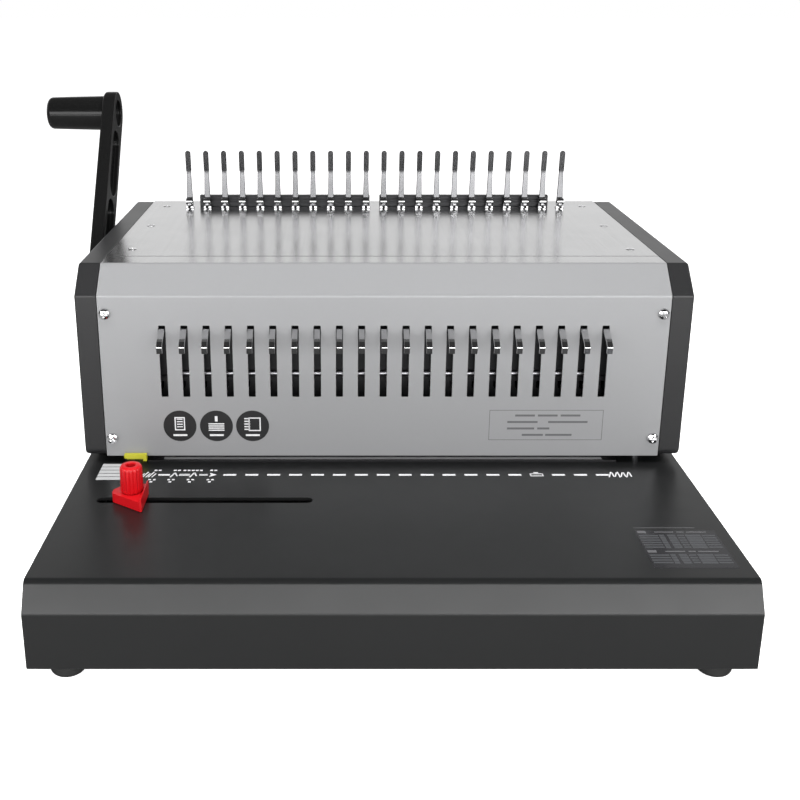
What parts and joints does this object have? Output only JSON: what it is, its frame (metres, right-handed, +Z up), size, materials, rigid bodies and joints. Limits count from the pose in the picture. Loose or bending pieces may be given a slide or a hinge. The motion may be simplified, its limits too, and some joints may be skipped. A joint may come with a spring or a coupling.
{
  "type": "comb binding machine",
  "caption": "Desktop comb binding machine: low base with a paper table, housing with a slotted front and punch pulls, comb rack on top and one cranked side handle.",
  "frame": {"origin": "middle of the whole machine's footprint, handle grip included, on the surface it stands on", "axes": "+X to the operator's right, +Y to the back, +Z up"},
  "size_m": [0.4612, 0.397, 0.2809],
  "materials": {
    "base_paint": "satin charcoal paint",
    "rubber": "matt",
    "black_housing": "fine-grained charcoal",
    "silver_paint": "silver-grey satin paint",
    "polished_steel": "mirror-polished sheet",
    "zinc_steel": "zinc plated",
    "brass": "turned",
    "chrome": "bright plated",
    "gloss_black": "glossy black",
    "dark_steel": "black oxide",
    "red_plastic": "semi-gloss red",
    "yellow_plastic": "semi-gloss yellow",
    "drawer_plastic": "matt black"
  },
  "bodies": {
    "machine": {"base_shell": "base_paint", "base_plate": "base_paint", "foot_front_left": "rubber", "foot_front_right": "rubber", "foot_rear_left": "rubber", "foot_rear_right": "rubber", "left_side_panel": "black_housing", "right_side_panel": "black_housing", "front_cover": "silver_paint", "top_plate": "polished_steel", "rear_cover": "black_housing", "left_frame_plate": "zinc_steel", "right_frame_plate": "zinc_steel", "left_shaft_bush": "brass", "right_shaft_bush": "brass", "cover_screw_left_upper": "chrome", "cover_screw_left_lower": "chrome", "cover_screw_right_upper": "chrome", "cover_screw_right_lower": "chrome", "die_plate": "dark_steel", "punch_guide": "zinc_steel", "comb_finger_rack": "chrome"},
    "handle": {"main_shaft": "zinc_steel", "left_cam": "zinc_steel", "right_cam": "zinc_steel", "handle_arm": "gloss_black", "handle_grip": "gloss_black"},
    "punch_carriage": {"punch_bar": "dark_steel", "keeper_rod": "zinc_steel", "left_punch_yoke": "zinc_steel", "right_punch_yoke": "zinc_steel"},
    "opener_carriage": {"opener_slide": "zinc_steel", "left_opener_rail": "dark_steel", "right_opener_rail": "dark_steel"},
    "edge_guide": {"edge_guide": "red_plastic"},
    "guide_knob": {"guide_knob": "red_plastic"},
    "margin_tab": {"margin_tab": "yellow_plastic"},
    "depth_stop": {"depth_stop": "zinc_steel"},
    "chip_drawer": {"chip_drawer": "drawer_plastic"},
    "punch_pull_01": {"punch_pull_01": "chrome"},
    "punch_pull_02": {"punch_pull_02": "chrome"},
    "punch_pull_03": {"punch_pull_03": "chrome"},
    "punch_pull_04": {"punch_pull_04": "chrome"},
    "punch_pull_05": {"punch_pull_05": "chrome"},
    "punch_pull_06": {"punch_pull_06": "chrome"},
    "punch_pull_07": {"punch_pull_07": "chrome"},
    "punch_pull_08": {"punch_pull_08": "chrome"},
    "punch_pull_09": {"punch_pull_09": "chrome"},
    "punch_pull_10": {"punch_pull_10": "chrome"},
    "punch_pull_11": {"punch_pull_11": "chrome"},
    "punch_pull_12": {"punch_pull_12": "chrome"},
    "punch_pull_13": {"punch_pull_13": "chrome"},
    "punch_pull_14": {"punch_pull_14": "chrome"},
    "punch_pull_15": {"punch_pull_15": "chrome"},
    "punch_pull_16": {"punch_pull_16": "chrome"},
    "punch_pull_17": {"punch_pull_17": "chrome"},
    "punch_pull_18": {"punch_pull_18": "chrome"},
    "punch_pull_19": {"punch_pull_19": "chrome"},
    "punch_pull_20": {"punch_pull_20": "chrome"},
    "punch_pull_21": {"punch_pull_21": "chrome"}
  },
  "joints": [
    {"name": "handle_swing", "type": "hinge", "parent": "machine", "child": "handle", "pos_m": [-0.17475, 0.06346, 0.102], "axis": [1, 0, 0], "range_deg": [0, 100], "stiffness_Nm_per_rad": 0.4, "springref_deg": -40.11},
    {"name": "punch_stroke", "type": "slide", "parent": "machine", "child": "punch_carriage", "axis": [0, 0, -1], "range_m": [0, 0.0151]},
    {"name": "opener_travel", "type": "slide", "parent": "machine", "child": "opener_carriage", "axis": [0, 1, 0], "range_m": [0, 0.0141]},
    {"name": "edge_guide_travel", "type": "slide", "parent": "machine", "child": "edge_guide", "axis": [1, 0, 0], "range_m": [-0.0145, 0.1035]},
    {"name": "guide_knob_turn", "type": "hinge", "parent": "edge_guide", "child": "guide_knob", "pos_m": [-0.12385, -0.09554, 0.0639], "axis": [0, 0, 1], "range_deg": [0, 180]},
    {"name": "margin_tab_travel", "type": "slide", "parent": "machine", "child": "margin_tab", "axis": [1, 0, 0], "range_m": [-0.004, 0.001]},
    {"name": "depth_stop_travel", "type": "slide", "parent": "machine", "child": "depth_stop", "axis": [0, 1, 0], "range_m": [-0.0006, 0.0021]},
    {"name": "chip_drawer_travel", "type": "slide", "parent": "machine", "child": "chip_drawer", "axis": [1, 0, 0], "range_m": [0, 0.25]},
    {"name": "punch_pull_01_travel", "type": "slide", "parent": "punch_carriage", "child": "punch_pull_01", "axis": [0, -1, 0], "range_m": [0, 0.006]},
    {"name": "punch_pull_02_travel", "type": "slide", "parent": "punch_carriage", "child": "punch_pull_02", "axis": [0, -1, 0], "range_m": [0, 0.006]},
    {"name": "punch_pull_03_travel", "type": "slide", "parent": "punch_carriage", "child": "punch_pull_03", "axis": [0, -1, 0], "range_m": [0, 0.006]},
    {"name": "punch_pull_04_travel", "type": "slide", "parent": "punch_carriage", "child": "punch_pull_04", "axis": [0, -1, 0], "range_m": [0, 0.006]},
    {"name": "punch_pull_05_travel", "type": "slide", "parent": "punch_carriage", "child": "punch_pull_05", "axis": [0, -1, 0], "range_m": [0, 0.006]},
    {"name": "punch_pull_06_travel", "type": "slide", "parent": "punch_carriage", "child": "punch_pull_06", "axis": [0, -1, 0], "range_m": [0, 0.006]},
    {"name": "punch_pull_07_travel", "type": "slide", "parent": "punch_carriage", "child": "punch_pull_07", "axis": [0, -1, 0], "range_m": [0, 0.006]},
    {"name": "punch_pull_08_travel", "type": "slide", "parent": "punch_carriage", "child": "punch_pull_08", "axis": [0, -1, 0], "range_m": [0, 0.006]},
    {"name": "punch_pull_09_travel", "type": "slide", "parent": "punch_carriage", "child": "punch_pull_09", "axis": [0, -1, 0], "range_m": [0, 0.006]},
    {"name": "punch_pull_10_travel", "type": "slide", "parent": "punch_carriage", "child": "punch_pull_10", "axis": [0, -1, 0], "range_m": [0, 0.006]},
    {"name": "punch_pull_11_travel", "type": "slide", "parent": "punch_carriage", "child": "punch_pull_11", "axis": [0, -1, 0], "range_m": [0, 0.006]},
    {"name": "punch_pull_12_travel", "type": "slide", "parent": "punch_carriage", "child": "punch_pull_12", "axis": [0, -1, 0], "range_m": [0, 0.006]},
    {"name": "punch_pull_13_travel", "type": "slide", "parent": "punch_carriage", "child": "punch_pull_13", "axis": [0, -1, 0], "range_m": [0, 0.006]},
    {"name": "punch_pull_14_travel", "type": "slide", "parent": "punch_carriage", "child": "punch_pull_14", "axis": [0, -1, 0], "range_m": [0, 0.006]},
    {"name": "punch_pull_15_travel", "type": "slide", "parent": "punch_carriage", "child": "punch_pull_15", "axis": [0, -1, 0], "range_m": [0, 0.006]},
    {"name": "punch_pull_16_travel", "type": "slide", "parent": "punch_carriage", "child": "punch_pull_16", "axis": [0, -1, 0], "range_m": [0, 0.006]},
    {"name": "punch_pull_17_travel", "type": "slide", "parent": "punch_carriage", "child": "punch_pull_17", "axis": [0, -1, 0], "range_m": [0, 0.006]},
    {"name": "punch_pull_18_travel", "type": "slide", "parent": "punch_carriage", "child": "punch_pull_18", "axis": [0, -1, 0], "range_m": [0, 0.006]},
    {"name": "punch_pull_19_travel", "type": "slide", "parent": "punch_carriage", "child": "punch_pull_19", "axis": [0, -1, 0], "range_m": [0, 0.006]},
    {"name": "punch_pull_20_travel", "type": "slide", "parent": "punch_carriage", "child": "punch_pull_20", "axis": [0, -1, 0], "range_m": [0, 0.006]},
    {"name": "punch_pull_21_travel", "type": "slide", "parent": "punch_carriage", "child": "punch_pull_21", "axis": [0, -1, 0], "range_m": [0, 0.006]}
  ],
  "couplings": [
    {"joint": "punch_stroke", "follows": "handle_swing", "m_per_rad": 0.0085944},
    {"joint": "opener_travel", "follows": "handle_swing", "m_per_rad": 0.0080214},
    {"joint": "depth_stop_travel", "follows": "margin_tab_travel", "ratio": -0.5}
  ]
}
